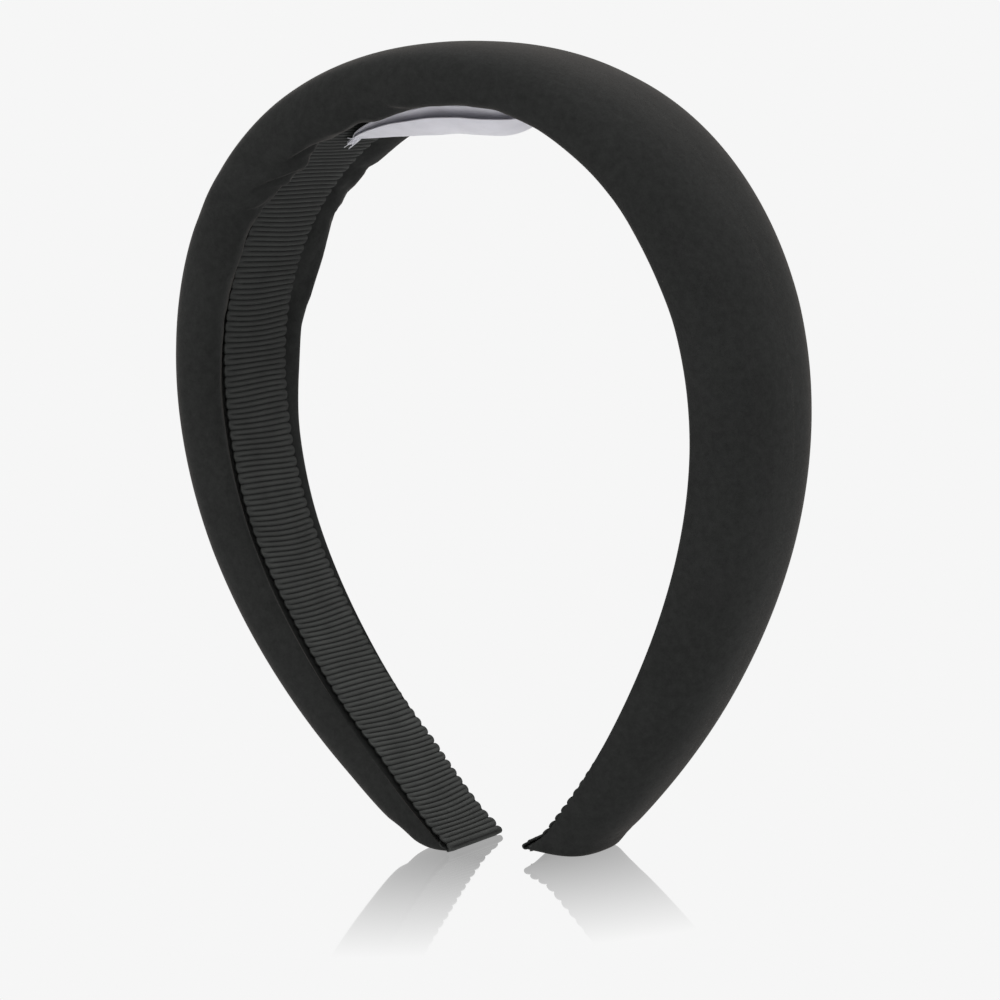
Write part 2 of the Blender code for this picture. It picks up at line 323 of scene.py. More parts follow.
def outline(s, u, inset, count):
    """The whole section, from the front margin's edge over the dome to the rear one's, in 2 * count - 1
    points."""
    y, n = resampled(*half_outline(s, u, inset), count)
    return np.concatenate([-y, y[-2::-1]]), np.concatenate([n, n[-2::-1]])


# ---------------------------------------------------------------- meshes


def add_mesh(name, points, faces):
    mesh = bpy.data.meshes.new(name)
    corners = np.asarray(points, float).reshape(-1, 3).tolist()
    mesh.from_pydata(corners, [], [list(map(int, face)) for face in faces])
    mesh.update()
    mesh.shade_smooth()
    made = bpy.data.objects.new(name, mesh)
    bpy.context.collection.objects.link(made)
    return made


def finish(piece, material):
    piece.data.materials.clear()
    piece.data.materials.append(material)


def add_piece(name, points, faces, material):
    piece = add_mesh(name, points, faces)
    finish(piece, material)
    return piece


def coordinates(piece):
    points = np.zeros(len(piece.data.vertices) * 3, np.float32)
    piece.data.vertices.foreach_get("co", points)
    return points.reshape(-1, 3).astype(float)


def set_coordinates(piece, points):
    piece.data.vertices.foreach_set("co", np.asarray(points, np.float32).ravel())
    piece.data.update()


def deselect():
    for other in bpy.context.view_layer.objects:
        other.select_set(False)


def only(piece):
    """Makes a piece the one that operators act on."""
    deselect()
    piece.select_set(True)
    bpy.context.view_layer.objects.active = piece


def apply_all(piece):
    only(piece)
    for modifier in list(piece.modifiers):
        bpy.ops.object.modifier_apply(modifier=modifier.name)


def add_wall(piece, thickness, offset):
    solid = piece.modifiers.new("Wall", "SOLIDIFY")
    solid.thickness = thickness
    solid.offset = offset


def turn_outward(piece):
    mesh = bmesh.new()
    mesh.from_mesh(piece.data)
    bmesh.ops.recalc_face_normals(mesh, faces=mesh.faces)
    mesh.to_mesh(piece.data)
    mesh.free()


def sharpen(piece, degrees):
    piece.data.set_sharp_from_angle(angle=math.radians(degrees))


def quads(rows, columns):
    """Faces of a grid whose points are numbered row by row."""
    i, j = np.meshgrid(np.arange(rows - 1), np.arange(columns - 1), indexing="ij")
    a = (i * columns + j).ravel()
    return np.stack([a, a + 1, a + columns + 1, a + columns], -1)


def grid_normals(grid):
    normal = np.cross(np.gradient(grid, axis=0), np.gradient(grid, axis=1))
    return normal / np.maximum(np.linalg.norm(normal, axis=-1, keepdims=True), 1e-12)


def both_ways(half_rows):
    """Runs down both arms, from the left tip to the right one, from those down one arm."""
    return np.concatenate([-half_rows[:0:-1], half_rows])


def half_of(values, side):
    """One half of values that go from tip to tip, taken from the crown to its tip."""
    middle = len(values) // 2
    return values[: middle + 1][::-1] if side == "left" else values[middle:]


def fabric_map(piece, u_of_vertex, v_of_vertex):
    """A UV map whose units are metres of fabric, along the band and round it."""
    layer = piece.data.uv_layers.new(name="Fabric")
    corners = np.zeros(len(piece.data.loops), np.int32)
    piece.data.loops.foreach_get("vertex_index", corners)
    uv = np.stack([u_of_vertex[corners], v_of_vertex[corners]], -1)
    layer.data.foreach_set("uv", uv.astype(np.float32).ravel())


# Shares of the way from the crown to a tip, at which fit_to_frame finds two places on the spine; nothing uses
# these places.
BLEND = (0.08, 0.60)


def fit_to_frame(piece, name, side):
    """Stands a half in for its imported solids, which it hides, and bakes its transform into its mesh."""
    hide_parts(f"{name}_{side}_arm", *([f"{name}_crown"] if side == "left" else []))
    spine = Spine(sizes())
    start, end = (spine.wrap(SIDES[side] * share * spine.length, 0.0, CORE_N) for share in BLEND)
    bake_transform(piece)


# ---------------------------------------------------------------- materials


def plug(tree, value, socket):
    """Links an output to a socket, or sets the socket to a plain value."""
    if isinstance(value, bpy.types.NodeSocket):
        tree.links.new(value, socket)
    else:
        socket.default_value = value


def node(tree, kind, **inputs):
    made = tree.nodes.new(kind)
    for name, value in inputs.items():
        plug(tree, value, made.inputs[name.replace("_", " ")])
    return made


def new_material(name, base, roughness, **sockets):
    material = bpy.data.materials.new(name)
    material.use_nodes = True
    tree = material.node_tree
    shader = next(n for n in tree.nodes if n.type == "BSDF_PRINCIPLED")
    for socket, value in {"Base Color": (*base, 1.0), "Roughness": roughness, **sockets}.items():
        shader.inputs[socket.replace("_", " ")].default_value = value
    return material, tree, shader


def toned(base, tone):
    return tuple(min(1.0, tone * x) for x in base)


def mixed_colour(tree, factor, low, high, clamped=True):
    mix = tree.nodes.new("ShaderNodeMix")
    mix.data_type = "RGBA"
    mix.clamp_factor = clamped
    for name, value in (("Factor", factor), ("A", low), ("B", high)):
        plug(tree, value if isinstance(value, bpy.types.NodeSocket) else (*value, 1.0), mix.inputs[name])
    return mix.outputs["Result"]


def mapped_range(tree, value, low, high, to_low, to_high):
    made = node(
        tree, "ShaderNodeMapRange", Value=value, From_Min=low, From_Max=high, To_Min=to_low, To_Max=to_high
    )
    return made.outputs["Result"]


def bumped(tree, height, strength, distance, under=None):
    bump = node(tree, "ShaderNodeBump", Strength=strength, Distance=distance, Height=height)
    if under is not None:
        plug(tree, under, bump.inputs["Normal"])
    return bump.outputs["Normal"]


def maths(tree, operation, *values):
    made = tree.nodes.new("ShaderNodeMath")
    made.operation = operation
    for value, socket in zip(values, made.inputs):
        plug(tree, value, socket)
    return made.outputs["Value"]


def object_place(tree):
    return tree.nodes.new("ShaderNodeTexCoord").outputs["Object"]


def noise(tree, scale, detail, **inputs):
    made = node(tree, "ShaderNodeTexNoise", Vector=object_place(tree), Scale=scale, Detail=detail, **inputs)
    return made.outputs["Fac"]


def cells(tree, scale):
    """Distance from the nearest of many scattered points."""
    return node(tree, "ShaderNodeTexVoronoi", Vector=object_place(tree), Scale=scale).outputs["Distance"]


def weave(tree, along_pitch, across_pitch):
    """Threads that go over and under, on the Fabric map, as a height from 0 to 1."""
    uv = tree.nodes.new("ShaderNodeUVMap")
    uv.uv_map = "Fabric"
    split = node(tree, "ShaderNodeSeparateXYZ", Vector=uv.outputs["UV"])
    waves = []
    for axis, pitch in (("X", along_pitch), ("Y", across_pitch)):
        turned = maths(tree, "MULTIPLY", split.outputs[axis], 2 * math.pi / pitch)
        waves.append(maths(tree, "SINE", turned))
    return mapped_range(tree, maths(tree, "MULTIPLY", *waves), -1.0, 1.0, 0.0, 1.0)


def cover_fabric():
    """Matte cloth: a cloudy nap, a few specks of lint, fine hairs over slubs, and a plain weave."""
    c = colours()
    material, tree, shader = new_material(
        "cover_fabric",
        c.cover,
        0.78,
        Specular_IOR_Level=0.16,
        Sheen_Weight=0.09,
        Sheen_Roughness=0.30,
        Sheen_Tint=(*c.cover_sheen, 1.0),
    )
    cloudy = noise(tree, 55.0, 4.0)
    fuzz = noise(tree, 2600.0, 2.0)
    nap = noise(tree, 620.0, 5.0, Roughness=0.7)
    mottled = maths(tree, "ADD", maths(tree, "MULTIPLY", nap, 0.72), maths(tree, "MULTIPLY", cloudy, 0.28))
    shade = mapped_range(tree, mottled, 0.36, 0.64, 0.0, 1.0)
    cloth = mixed_colour(tree, shade, toned(c.cover, 0.74), toned(c.cover, 1.26))
    speck = mapped_range(tree, cells(tree, 62.0), 0.010, 0.016, 1.0, 0.0)
    plug(tree, mixed_colour(tree, speck, cloth, c.lint), shader.inputs["Base Color"])
    plug(tree, mapped_range(tree, fuzz, 0.3, 0.7, 0.72, 0.84), shader.inputs["Roughness"])
    slubs = bumped(tree, cloudy, 0.25, 0.6 * MM)
    hairs = bumped(tree, fuzz, 0.25, 0.05 * MM, slubs)
    threads = weave(tree, 0.32 * MM, 0.32 * MM)
    plug(tree, bumped(tree, threads, 0.35, 0.03 * MM, hairs), shader.inputs["Normal"])
    return material


def ribbon_weave():
    """Ribs with painted highlight at their crests and painted shade in the grooves between them, and more painted
    light low on the arms, where the ribbon faces up toward the light.
    """
    c = colours()
    material, tree, shader = new_material(
        "ribbon_weave",
        c.ribbon,
        0.66,
        Specular_IOR_Level=0.18,
        Sheen_Weight=0.06,
        Sheen_Roughness=0.4,
        Sheen_Tint=(*c.ribbon_sheen, 1.0),
    )
    # The rib attribute holds each point's height on its rib: crests get painted highlight, and grooves get the
    # groove colour as painted shade.
    height = tree.nodes.new("ShaderNodeAttribute")
    height.attribute_name = "rib"
    lifted = mapped_range(tree, noise(tree, 160.0, 3.0), 0.25, 0.75, 0.70, 1.15)
    lit_crest = maths(tree, "MULTIPLY", height.outputs["Fac"], lifted)
    # Painted light: low on the arms, where the ribbon faces up toward the light, the ribs are painted up to 2.7
    # times lighter.
    up = node(tree, "ShaderNodeSeparateXYZ", Vector=object_place(tree)).outputs["Z"]
    low_arm_light = mapped_range(tree, up, 0.11, 0.03, 1.0, 2.7)
    brighter = maths(tree, "MULTIPLY", lit_crest, low_arm_light)
    ribs = mixed_colour(tree, brighter, c.ribbon_groove_shade, c.ribbon, clamped=False)
    plug(tree, ribs, shader.inputs["Base Color"])
    plug(tree, bumped(tree, weave(tree, 0.60 * MM, 0.22 * MM), 0.45, 0.05 * MM), shader.inputs["Normal"])
    return material


def label_satin(name, tone):
    """Crumpled satin, with painted shade where its creases dip. A tone below 1 gives a darker copy, as painted
    shade.
    """
    base = toned(colours().label, tone)
    material, tree, shader = new_material(
        name, base, 0.42, Sheen_Weight=0.2, Sheen_Roughness=0.3, Anisotropic=0.5
    )
    creased = noise(tree, 240.0, 3.0)
    # Painted shade: the satin is darkened to 0.9 where its creases dip.
    shade = mapped_range(tree, creased, 0.3, 0.7, 0.0, 1.0)
    plug(tree, mixed_colour(tree, shade, toned(base, 0.9), base), shader.inputs["Base Color"])
    soft = bumped(tree, creased, 0.3, 0.4 * MM)
    plug(tree, bumped(tree, weave(tree, 0.24 * MM, 0.5 * MM), 0.4, 0.04 * MM, soft), shader.inputs["Normal"])
    return material


def grained(name, base, roughness, scale, strength, depth, **sockets):
    """A plain finish with a fine grain: moulded plastic, set glue, spun thread."""
    material, tree, shader = new_material(name, base, roughness, **sockets)
    grain = noise(tree, scale, 4.0)
    shade = mapped_range(tree, grain, 0.3, 0.7, 0.0, 1.0)
    plug(tree, mixed_colour(tree, shade, toned(base, 0.82), toned(base, 1.12)), shader.inputs["Base Color"])
    rough = mapped_range(tree, grain, 0.3, 0.7, roughness * 0.85, min(1.0, roughness * 1.15))
    plug(tree, rough, shader.inputs["Roughness"])
    plug(tree, bumped(tree, grain, strength, depth), shader.inputs["Normal"])
    return material


def open_cell_foam():
    base = colours().foam
    material, tree, shader = new_material("open_cell_foam", base, 0.95)
    pores = cells(tree, 1400.0)
    # Painted shade: each pore is darkened toward its centre, where it dips in.
    plug(tree, mixed_colour(tree, pores, toned(base, 0.55), base), shader.inputs["Base Color"])
    plug(tree, bumped(tree, pores, 0.8, 0.3 * MM), shader.inputs["Normal"])
    return material


# ---------------------------------------------------------------- the padding and its cover

BODY_STEP = 1.15 * MM
TIP_ROWS = 14
TIP_STRETCH = 7.0 * MM
FAN_STRETCH = 17.0 * MM
HALF_COLUMNS = 49
ALL_COLUMNS = 2 * HALF_COLUMNS - 1
DEEPEST_TUCK = 1.7 * MM
RIGHT_FRONT_CALM = 0.75
CALM_FROM_CROWN = 20 * MM

# The cloth simulation runs at this many times the real size, which its solver handles better.
SIM_SCALE = 10.0
SIM_FRAMES = 20
SIM_QUALITY = 6
SIM_MASS = 0.15
SIM_EXCESS = 0.03
SIM_PRESSURE = 4.0
SIM_HELD_ROWS = 4
SIM_MEAN_REACH = 9
PUCKER_CAP = 0.7 * MM
PUCKER_FROM_RIBBON = (6.0 * MM, 14.0 * MM)
PUCKER_ALONG = (0.30, 0.55)


def cover_rows(spine):
    """Runs of the cover's sections down the right half, closer together where the tip rounds over."""
    body_end = spine.length - TIP_STRETCH
    body = np.linspace(0.0, body_end, int(round(body_end / BODY_STEP)) + 1)
    t = np.linspace(0.0, 1.0, TIP_ROWS + 1)[1:]
    tip = body_end + TIP_STRETCH * (1 - (1 - t) ** 1.6)
    return np.concatenate([body, tip])


# How far the front roll hangs in further, and how much fuller the dome is on each arm, both in mm, at shares of
# the way from the crown to a tip. In the first, shares on the left half are negative.
OVERHANG_AT = (-0.44, -0.36, -0.28, -0.22, -0.165, -0.12, -0.08, -0.045, -0.010, 0.04, 0.08, 0.12, 0.17)
OVERHANG = (0.0, 0.3, 1.6, 3.1, 4.2, 3.0, 3.2, 3.0, 2.3, 1.8, 1.3, 0.5, 0.0)
FULLNESS_AT = (0.0, 0.15, 0.26, 0.40, 0.60, 0.93, 1.0)
FULLNESS = {-1: (0.0, 0.9, 1.0, 0.2, 0.0, 0.0, -0.9), 1: (0.0, -0.5, 0.1, 0.8, 0.7, 0.2, 1.1)}
OVERHANG_BESIDE = (10.5 * MM, 14.0 * MM)
OVERHANG_HEIGHT = (2.0 * MM, 8.0 * MM)


def risen(x, ends):
    """Rises smoothly from 0 to 1 between two ends."""
    low, high = ends
    return smooth_step((x - low) / (high - low))


def front_overhang(y, n, u):
    """How much further the padding hangs in past the ribbon's front edge, on the left half and the crown."""
    i = min(max(int(np.searchsorted(OVERHANG_AT, u)), 1), len(OVERHANG_AT) - 1)
    share = float(risen(u, OVERHANG_AT[i - 1 : i + 1]))
    extra = (OVERHANG[i - 1] + share * (OVERHANG[i] - OVERHANG[i - 1])) * MM
    return extra * risen(-y, OVERHANG_BESIDE) * (1 - risen(n, OVERHANG_HEIGHT))


def swept_grid(spine, s, inset, rows, columns):
    """World places of a padded surface, one row for each run, for both halves. It ends level at the tips, and
    the dome rounds over to the level face there."""
    grid = []
    for run in rows:
        fillet = s.tip_fillet[0 if run < 0 else 1]
        fillet_run = spine.run_at_height(fillet + inset)
        u = run / spine.length
        y, n = outline(s, abs(u), inset, columns)
        n = n - front_overhang(y, n, u)
        place, _, _ = spine.at(np.array(abs(run)))
        fan = s.tip_lean * float(smooth_step((abs(run) - fillet_run + FAN_STRETCH) / FAN_STRETCH))
        below = max(0.0, fillet + inset - float(place[1]))
        round_in = fillet - math.sqrt(max(0.0, fillet**2 - min(below, fillet) ** 2))
        deepest, base = n.max(), MARGIN_N + inset
        fuller = float(np.interp(abs(u), FULLNESS_AT, FULLNESS[1 if run > 0 else -1])) * MM
        n = np.where(n > base, base + (n - base) * (1 + (fuller - round_in) / (deepest - base)), n)
        y = y * (1 - round_in / np.abs(y).max())
        grid.append(spine.wrap(np.full_like(y, run), y, n, fan))
    return np.array(grid)

def away_from_ribbon(around, flat_to, sign):
    """The run round the section past the ribbon's edge, at the front (-1) or the rear (1), and less than 0 at
    the other one."""
    return np.where(np.sign(around) == sign, np.abs(around) - flat_to[:, None], -1.0)


def started(away):
    """Rises from 0 to 1 over the last of the way to the ribbon's edge."""
    return risen(away, (-2.0 * MM, 0.0))


def tuck_field(s, spine, rows, around, flat_to):
    """How far the cover's surface is pulled in by its tucks. Rows are runs along the band, around is the run
    round the section from its middle underside, and flat_to is where the ribbon's edge lies on it."""
    rng = np.random.default_rng(s.tuck_seed)
    run = rows[:, None]
    depth = np.zeros_like(around)
    crown_end = 0.40 * spine.length
    for sign in (-1, 1):
        away = away_from_ribbon(around, flat_to, sign)
        place = -crown_end
        while place < crown_end:
            fade = float(np.clip(1.25 - abs(place) / crown_end, 0.0, 1.0))
            strength = s.tuck_depth * fade * rng.uniform(0.25, 1.0)
            width = rng.uniform(1.0, 2.4) * MM
            slant = rng.uniform(-0.7, 0.7)
            length_round = rng.uniform(2.5, 6.5) * MM
            spread = width * (1 + 0.30 * np.maximum(away, 0.0) / MM)
            reach = np.exp(-np.maximum(away, 0.0) / length_round) * started(away)
            depth += strength * reach * np.exp(-(((run - place - slant * away) / spread) ** 2))
            place += rng.uniform(4.0, 10.0) * MM
    return depth


# The few deep tucks, at the left shoulder and above the label: where each starts along the band, on which edge,
# how far it slants for each unit round the section, its depth and half width, how far round from the ribbon's
# edge it is deepest, and how far from there it fades. Places, depths, widths and distances are in mm.
HAND_TUCKS = (
    (-36.0, -1, -1.5, 3.0, 1.5, 8.5, 5.0),
    (-40.5, -1, -1.1, 1.4, 0.9, 8.0, 5.0),
    (-47.0, -1, -0.7, 1.2, 1.2, 8.0, 5.0),
    (-25.5, -1, -1.5, 3.0, 1.3, 8.5, 5.0),
    (-29.5, -1, -1.2, 1.5, 0.9, 8.0, 5.0),
    (-14.0, -1, 1.0, 1.2, 2.2, 8.0, 6.0),
    (2.0, -1, -1.6, 1.0, 2.4, 8.0, 6.0),
    (-53.0, 1, 0.3, 0.9, 1.3, 2.0, 8.0),
    (-46.0, 1, -0.3, 1.1, 1.2, 2.0, 8.0),
    (-40.0, 1, 0.2, 0.9, 1.1, 2.0, 8.0),
)

TUCK_SLANTS_FROM = 5.0 * MM


def hand_tucks(rows, around, flat_to):
    depth = np.zeros_like(around)
    for place, sign, slant, deep, width, centre, reach_round in HAND_TUCKS:
        away = away_from_ribbon(around, flat_to, sign)
        line = place * MM + slant * np.maximum(away - TUCK_SLANTS_FROM, 0.0)
        spread = width * MM * (1 + 0.05 * np.maximum(away, 0.0) / MM)
        reach = np.exp(-(((away - centre * MM) / (reach_round * MM)) ** 2)) * started(away)
        depth += deep * MM * reach * np.exp(-(((rows[:, None] - line) / spread) ** 2))
    return depth


def puckers(grid, normals, held):
    """Swells the cover's fabric in a cloth simulation, held along its margins and at its tips. Returns how far
    each point comes out, less the even swelling that the padding's own shape has already."""
    lattice = grid[::2, ::2]
    fabric = add_mesh("fabric", lattice * SIM_SCALE, quads(*lattice.shape[:2]))
    pins = fabric.vertex_groups.new(name="held")
    still = held[::2, ::2].copy()
    still[:SIM_HELD_ROWS] = still[-SIM_HELD_ROWS:] = True
    pins.add([int(i) for i in np.flatnonzero(still.ravel())], 1.0, "REPLACE")
    cloth = fabric.modifiers.new("Swell", "CLOTH")
    cloth.settings.quality = SIM_QUALITY
    cloth.settings.mass = SIM_MASS
    cloth.settings.vertex_group_mass = "held"
    cloth.settings.shrink_min = -SIM_EXCESS
    cloth.settings.use_pressure = True
    cloth.settings.uniform_pressure_force = SIM_PRESSURE
    cloth.settings.effector_weights.gravity = 0.0
    cloth.collision_settings.use_collision = False
    cloth.point_cache.frame_start, cloth.point_cache.frame_end = 1, SIM_FRAMES
    for moment in range(1, SIM_FRAMES + 1):
        bpy.context.scene.frame_set(moment)
    apply_all(fabric)
    moved = coordinates(fabric).reshape(lattice.shape) / SIM_SCALE - lattice
    bpy.data.objects.remove(fabric)
    bpy.context.scene.frame_set(1)
    out = (moved * normals[::2, ::2]).sum(-1)
    out = out - running_mean(out, SIM_MEAN_REACH)
    out = running_mean(PUCKER_CAP * np.tanh(out / PUCKER_CAP), 1)
    return filled_in(out, *grid.shape[:2])


def running_mean(values, reach):
    """The mean of each column over the rows within reach."""
    padded = np.pad(values, ((reach, reach), (0, 0)), mode="edge")
    total = np.cumsum(np.vstack([np.zeros(values.shape[1]), padded]), axis=0)
    return (total[2 * reach + 1 :] - total[: -2 * reach - 1]) / (2 * reach + 1)


def filled_in(values, rows, columns):
    """Half as many rows and columns of values, filled in to the full number."""
    across = np.array([np.interp(np.arange(columns) / 2, np.arange(values.shape[1]), row) for row in values])
    return np.array([np.interp(np.arange(rows) / 2, np.arange(len(values)), column) for column in across.T]).T


def padded_half(name, grid, side, material):
    """One half of a swept padded surface: closed at its tip, open where the other half meets it, and given
    its wall."""
    half = half_of(grid, side)
    count, columns = half.shape[:2]
    faces = quads(count, columns)
    tip = np.arange((count - 1) * columns, count * columns)
    if side == "right":
        faces, tip = faces[:, ::-1], tip[::-1]
    piece = add_piece(name, half, [*faces, tip], material)
    add_wall(piece, COVER_WALL, -1.0)
    apply_all(piece)
    points = coordinates(piece)
    points[:, 2] = np.maximum(points[:, 2], 0.0)
    set_coordinates(piece, points)
    return piece


def seam_shading(piece, columns, normals):
    """Gives the corners at the seam the whole surface's normals, so that the two halves shade as one."""
    mesh = piece.data
    sharpen(piece, 50)
    wanted = np.zeros((len(mesh.loops), 3))
    for polygon in mesh.polygons:
        vertices = list(polygon.vertices)
        if max(vertices) < 2 * columns:
            for loop, vertex in zip(polygon.loop_indices, vertices):
                if vertex < columns:
                    wanted[loop] = normals[vertex]
    mesh.normals_split_custom_set([tuple(n) for n in wanted])


def around_and_edge(s, spine, rows, columns):
    """For each section: the run round it from its middle underside, negative at the front, and the run to the
    ribbon's edge."""
    around, flat_to = [], []
    for run in rows:
        y, n = outline(s, abs(run) / spine.length, 0.0, columns)
        step = np.hypot(np.diff(y), np.diff(n))
        total = np.concatenate([[0.0], np.cumsum(step)])
        half = total[len(total) // 2]
        from_edge = np.minimum(total, total[-1] - total) + MARGIN_SLOT / 2
        around.append(np.where(total < half, -from_edge, from_edge))
        ribbon_half = float(ribbon_half_width(s, run / spine.length))
        flat_to.append(min(ribbon_half, np.abs(y).max() - SMALLEST_ROLL))
    return np.array(around), np.array(flat_to)


class HEADBAND_OT_cover(bpy.types.Operator):
    """The fabric cover: a wall round the padding, turned under beside the ribbon, with tucks at its edges"""

    bl_idname = "headband.cover"
    bl_label = "Cover"

    def execute(self, context):
        s = sizes()
        spine = Spine(s)
        rows = both_ways(cover_rows(spine))
        grid = swept_grid(spine, s, 0.0, rows, HALF_COLUMNS)
        normals = grid_normals(grid)
        around, flat_to = around_and_edge(s, spine, rows, HALF_COLUMNS)
        pulled = tuck_field(s, spine, rows, around, flat_to) + hand_tucks(rows, around, flat_to)
        pulled = DEEPEST_TUCK * np.tanh(pulled / DEEPEST_TUCK)
        calm = 1 - RIGHT_FRONT_CALM * smooth_step(rows[:, None] / CALM_FROM_CROWN) * (around < 0)
        away = np.abs(around) - flat_to[:, None]
        loose = 1 - risen(away, PUCKER_FROM_RIBBON)
        loose = loose * (1 - risen(np.abs(rows[:, None]) / spine.length, PUCKER_ALONG))
        pulled = pulled - puckers(grid, normals, away < 0.5 * MM) * loose
        grid = grid - normals * (pulled * calm)[..., None]
        seam_normals = grid_normals(grid)[len(rows) // 2]
        material = cover_fabric()
        for side in SIDES:
            piece = padded_half(f"cover_{side}", grid, side, material)
            seam_shading(piece, ALL_COLUMNS, seam_normals)
            lengthwise = np.repeat(half_of(rows, side), ALL_COLUMNS)
            crosswise = half_of(around, side).ravel()
            copies = len(piece.data.vertices) // len(lengthwise)
            fabric_map(piece, np.tile(lengthwise, copies), np.tile(crosswise, copies))
            fit_to_frame(piece, "cover", side)
        return {"FINISHED"}


FOAM_INSET = COVER_WALL + 2.0 * MM
FOAM_TIP_HEIGHT = 1.6 * MM
FOAM_ROWS = 90
FOAM_COLUMNS = 17
FOAM_BESIDE_CORE = 0.3 * MM


class HEADBAND_OT_foam(bpy.types.Operator):
    """The foam padding under the cover"""

    bl_idname = "headband.foam"
    bl_label = "Foam"

    def execute(self, context):
        s = sizes()
        spine = Spine(s)
        material = open_cell_foam()
        tip = spine.run_at_height(FOAM_TIP_HEIGHT)
        grid = []
        for run in both_ways(np.linspace(0.0, tip, FOAM_ROWS)):
            u = abs(run) / spine.length
            y, n = outline(s, u, FOAM_INSET, FOAM_COLUMNS)
            beside_core = core_half_width(u) + FOAM_BESIDE_CORE
            under = (n < FOAM_N) & (np.abs(y) < beside_core)
            y = np.where(under, np.sign(y) * beside_core, y)
            n = np.where(under, FOAM_N, n)
            fan = s.tip_lean * float(smooth_step((abs(run) - tip + FAN_STRETCH) / FAN_STRETCH))
            grid.append(spine.wrap(np.full_like(y, run), y, n, fan))
        for side in SIDES:
            piece = closed_tube(f"foam_{side}", half_of(np.array(grid), side), material)
            fit_to_frame(piece, "foam", side)
        return {"FINISHED"}


def closed_tube(name, rings, material):
    """A solid through closed sections, with its ends filled."""
    count, columns = rings.shape[:2]
    faces = []
    for i in range(count - 1):
        for j in range(columns):
            k = (j + 1) % columns
            faces.append((i * columns + j, (i + 1) * columns + j, (i + 1) * columns + k, i * columns + k))
    faces.append(tuple(range(columns)))
    faces.append(tuple((count - 1) * columns + j for j in range(columns - 1, -1, -1)))
    piece = add_piece(name, rings, faces, material)
    turn_outward(piece)
    sharpen(piece, 40)
    return piece


def core_half_width(u):
    crown, tip = CORE_WIDTHS
    return (crown + (tip - crown) * u) / 2


# ---------------------------------------------------------------- strips modelled flat, then wrapped

STRIP_FAN_FROM = 14 * MM
STRIP_FAN_OVER = 9 * MM
CORE_CUTS = 90
CORE_ROUNDING = 0.4 * MM
CORE_TIP_HEIGHT = 1.4 * MM
GLUE_CUTS = 80
GLUE_ROUNDING = 0.08 * MM
GLUE_TIP_HEIGHT = 1.6 * MM
GLUE_OUTER = 11.0 * MM
GLUE_INNER = 4.8 * MM
GLUE_FROM_CORE_EDGE = 1.0 * MM


def flat_strip(name, length_along, low_y, high_y, low_n, high_n, cuts, rounding):
    """A flat strip on the bench, from the crown to the tip: a cube with its long edges rounded, cut across so
    that it can bend."""
    deselect()
    bpy.ops.mesh.primitive_cube_add(
        size=1.0,
        location=(length_along / 2, (low_y + high_y) / 2, (low_n + high_n) / 2),
        scale=(length_along, high_y - low_y, high_n - low_n),
    )
    strip = bpy.context.object
    strip.name = name
    bpy.ops.object.transform_apply(location=True, rotation=True, scale=True)
    bpy.ops.object.mode_set(mode="EDIT")
    bpy.ops.mesh.select_mode(type="EDGE")
    select_edges_along_x(strip)
    bpy.ops.mesh.bevel(offset=rounding, segments=2, affect="EDGES")
    select_edges_along_x(strip)
    bpy.ops.mesh.subdivide(number_cuts=cuts)
    bpy.ops.object.mode_set(mode="OBJECT")
    return strip


def select_edges_along_x(strip):
    mesh = bmesh.from_edit_mesh(strip.data)
    for element in (*mesh.verts, *mesh.edges, *mesh.faces):
        element.select = False
    for edge in mesh.edges:
        run = edge.verts[0].co - edge.verts[1].co
        edge.select = abs(run.x) > 10 * max(abs(run.y), abs(run.z), 1e-9)
    mesh.select_flush_mode()
    bmesh.update_edit_mesh(strip.data)


def finish_strip(strip, side, spine, material, width_at):
    """Wraps a flat strip on the spine down one arm, and gives it its finish."""
    run, y, n = coordinates(strip).T
    y = width_at(run / spine.length, y)
    lean = np.tan(sizes().tip_lean) * smooth_step((run - spine.length + STRIP_FAN_FROM) / STRIP_FAN_OVER)
    set_coordinates(strip, spine.wrap(SIDES[side] * run, y, n, np.arctan(lean)))
    if side == "left":
        strip.data.flip_normals()
    strip.data.shade_smooth()
    sharpen(strip, 50)
    finish(strip, material)


def core_width(u, y):
    return y * core_half_width(u) / core_half_width(0.0)


class HEADBAND_OT_core(bpy.types.Operator):
    """The springy core that runs from tip to tip"""

    bl_idname = "headband.core"
    bl_label = "Core"

    def execute(self, context):
        spine = Spine(sizes())
        material = grained("core_plastic", colours().core, 0.42, 900.0, 0.15, 0.1 * MM)
        end = spine.run_at_height(CORE_TIP_HEIGHT)
        half = core_half_width(0.0)
        for side in SIDES:
            strip = flat_strip(
                f"core_{side}", end, -half, half, CORE_N, CORE_N + CORE_THICK, CORE_CUTS, CORE_ROUNDING
            )
            finish_strip(strip, side, spine, material, core_width)
            fit_to_frame(strip, "core", side)
        return {"FINISHED"}


def tape_width(u, y):
    return y * (core_half_width(u) - GLUE_FROM_CORE_EDGE) / GLUE_OUTER


def margin_width(u, y):
    outer = core_half_width(u) - GLUE_FROM_CORE_EDGE
    moved = GLUE_INNER + (np.abs(y) - GLUE_INNER) * (outer - GLUE_INNER) / (GLUE_OUTER - GLUE_INNER)
    return np.sign(y) * moved


def same_width(u, y):
    return y


